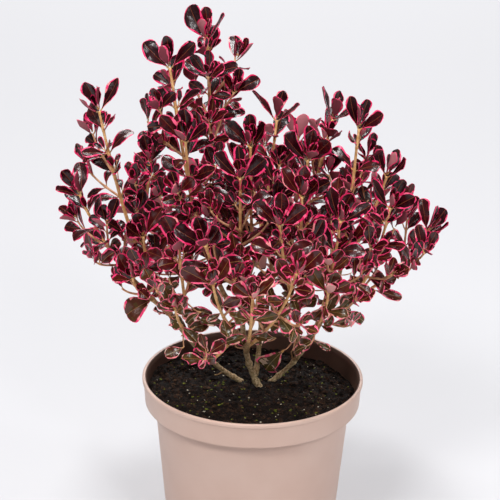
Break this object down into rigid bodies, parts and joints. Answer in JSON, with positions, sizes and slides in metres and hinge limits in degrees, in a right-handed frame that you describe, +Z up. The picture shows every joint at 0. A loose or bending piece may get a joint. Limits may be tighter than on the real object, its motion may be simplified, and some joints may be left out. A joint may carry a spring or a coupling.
{
  "type": "potted eclipse coprosma",
  "caption": "Small dark purple-leaved evergreen shrub with pink leaf margins, open and upright, growing in peat in a round taupe nursery pot with drain holes.",
  "frame": {"origin": "middle of the pot's flat underside", "axes": "+Z up through the pot to the crown, -Y towards the front in the picture, +X to the right in the picture"},
  "size_m": [0.2551, 0.211, 0.3829],
  "materials": {
    "pot_plastic": "matte taupe-pink moulded plastic",
    "peat": "damp dark peat compost, crumbly and matte",
    "wood": "thin tan bark, orange-brown on young shoots",
    "foliage": "glossy plum-black leaves with a crimson-pink margin"
  },
  "bodies": {
    "root": {"pot": "pot_plastic", "soil": "peat", "stem_back": "wood", "stem_centre": "wood", "stem_left": "wood", "stem_right": "wood", "bough_back_1": "wood", "bough_back_2": "wood", "bough_back_3": "wood", "bough_back_4": "wood", "bough_front": "wood", "bough_front_left": "wood", "bough_front_low": "wood", "bough_front_low_left": "wood", "bough_front_right": "wood", "bough_front_upper": "wood", "bough_left_low": "wood", "bough_left_upper": "wood", "bough_right_low": "wood", "bough_right_top": "wood", "bough_right_upper": "wood", "bough_top": "wood", "bough_top_left": "wood", "bough_upper": "wood", "foliage_back_1": "foliage", "foliage_back_1_side_1": "foliage", "foliage_back_2": "foliage", "foliage_back_2_side_1": "foliage", "foliage_back_3": "foliage", "foliage_back_3_side_1": "foliage", "foliage_back_4": "foliage", "foliage_front": "foliage", "foliage_front_left": "foliage", "foliage_front_left_side_1": "foliage", "foliage_front_low": "foliage", "foliage_front_low_left": "foliage", "foliage_front_low_left_side_1": "foliage", "foliage_front_low_side_1": "foliage", "foliage_front_right": "foliage", "foliage_front_right_side_1": "foliage", "foliage_front_side_1": "foliage", "foliage_front_upper": "foliage", "foliage_front_upper_side_1": "foliage", "foliage_left_low": "foliage", "foliage_left_low_side_1": "foliage", "foliage_left_upper": "foliage", "foliage_left_upper_side_1": "foliage", "foliage_left_upper_side_2": "foliage", "foliage_right_low": "foliage", "foliage_right_low_side_1": "foliage", "foliage_right_top": "foliage", "foliage_right_top_side_1": "foliage", "foliage_right_upper": "foliage", "foliage_right_upper_side_1": "foliage", "foliage_top": "foliage", "foliage_top_left": "foliage", "foliage_top_left_side_1": "foliage", "foliage_upper": "foliage", "foliage_upper_side_1": "foliage"}
  },
  "joints": []
}
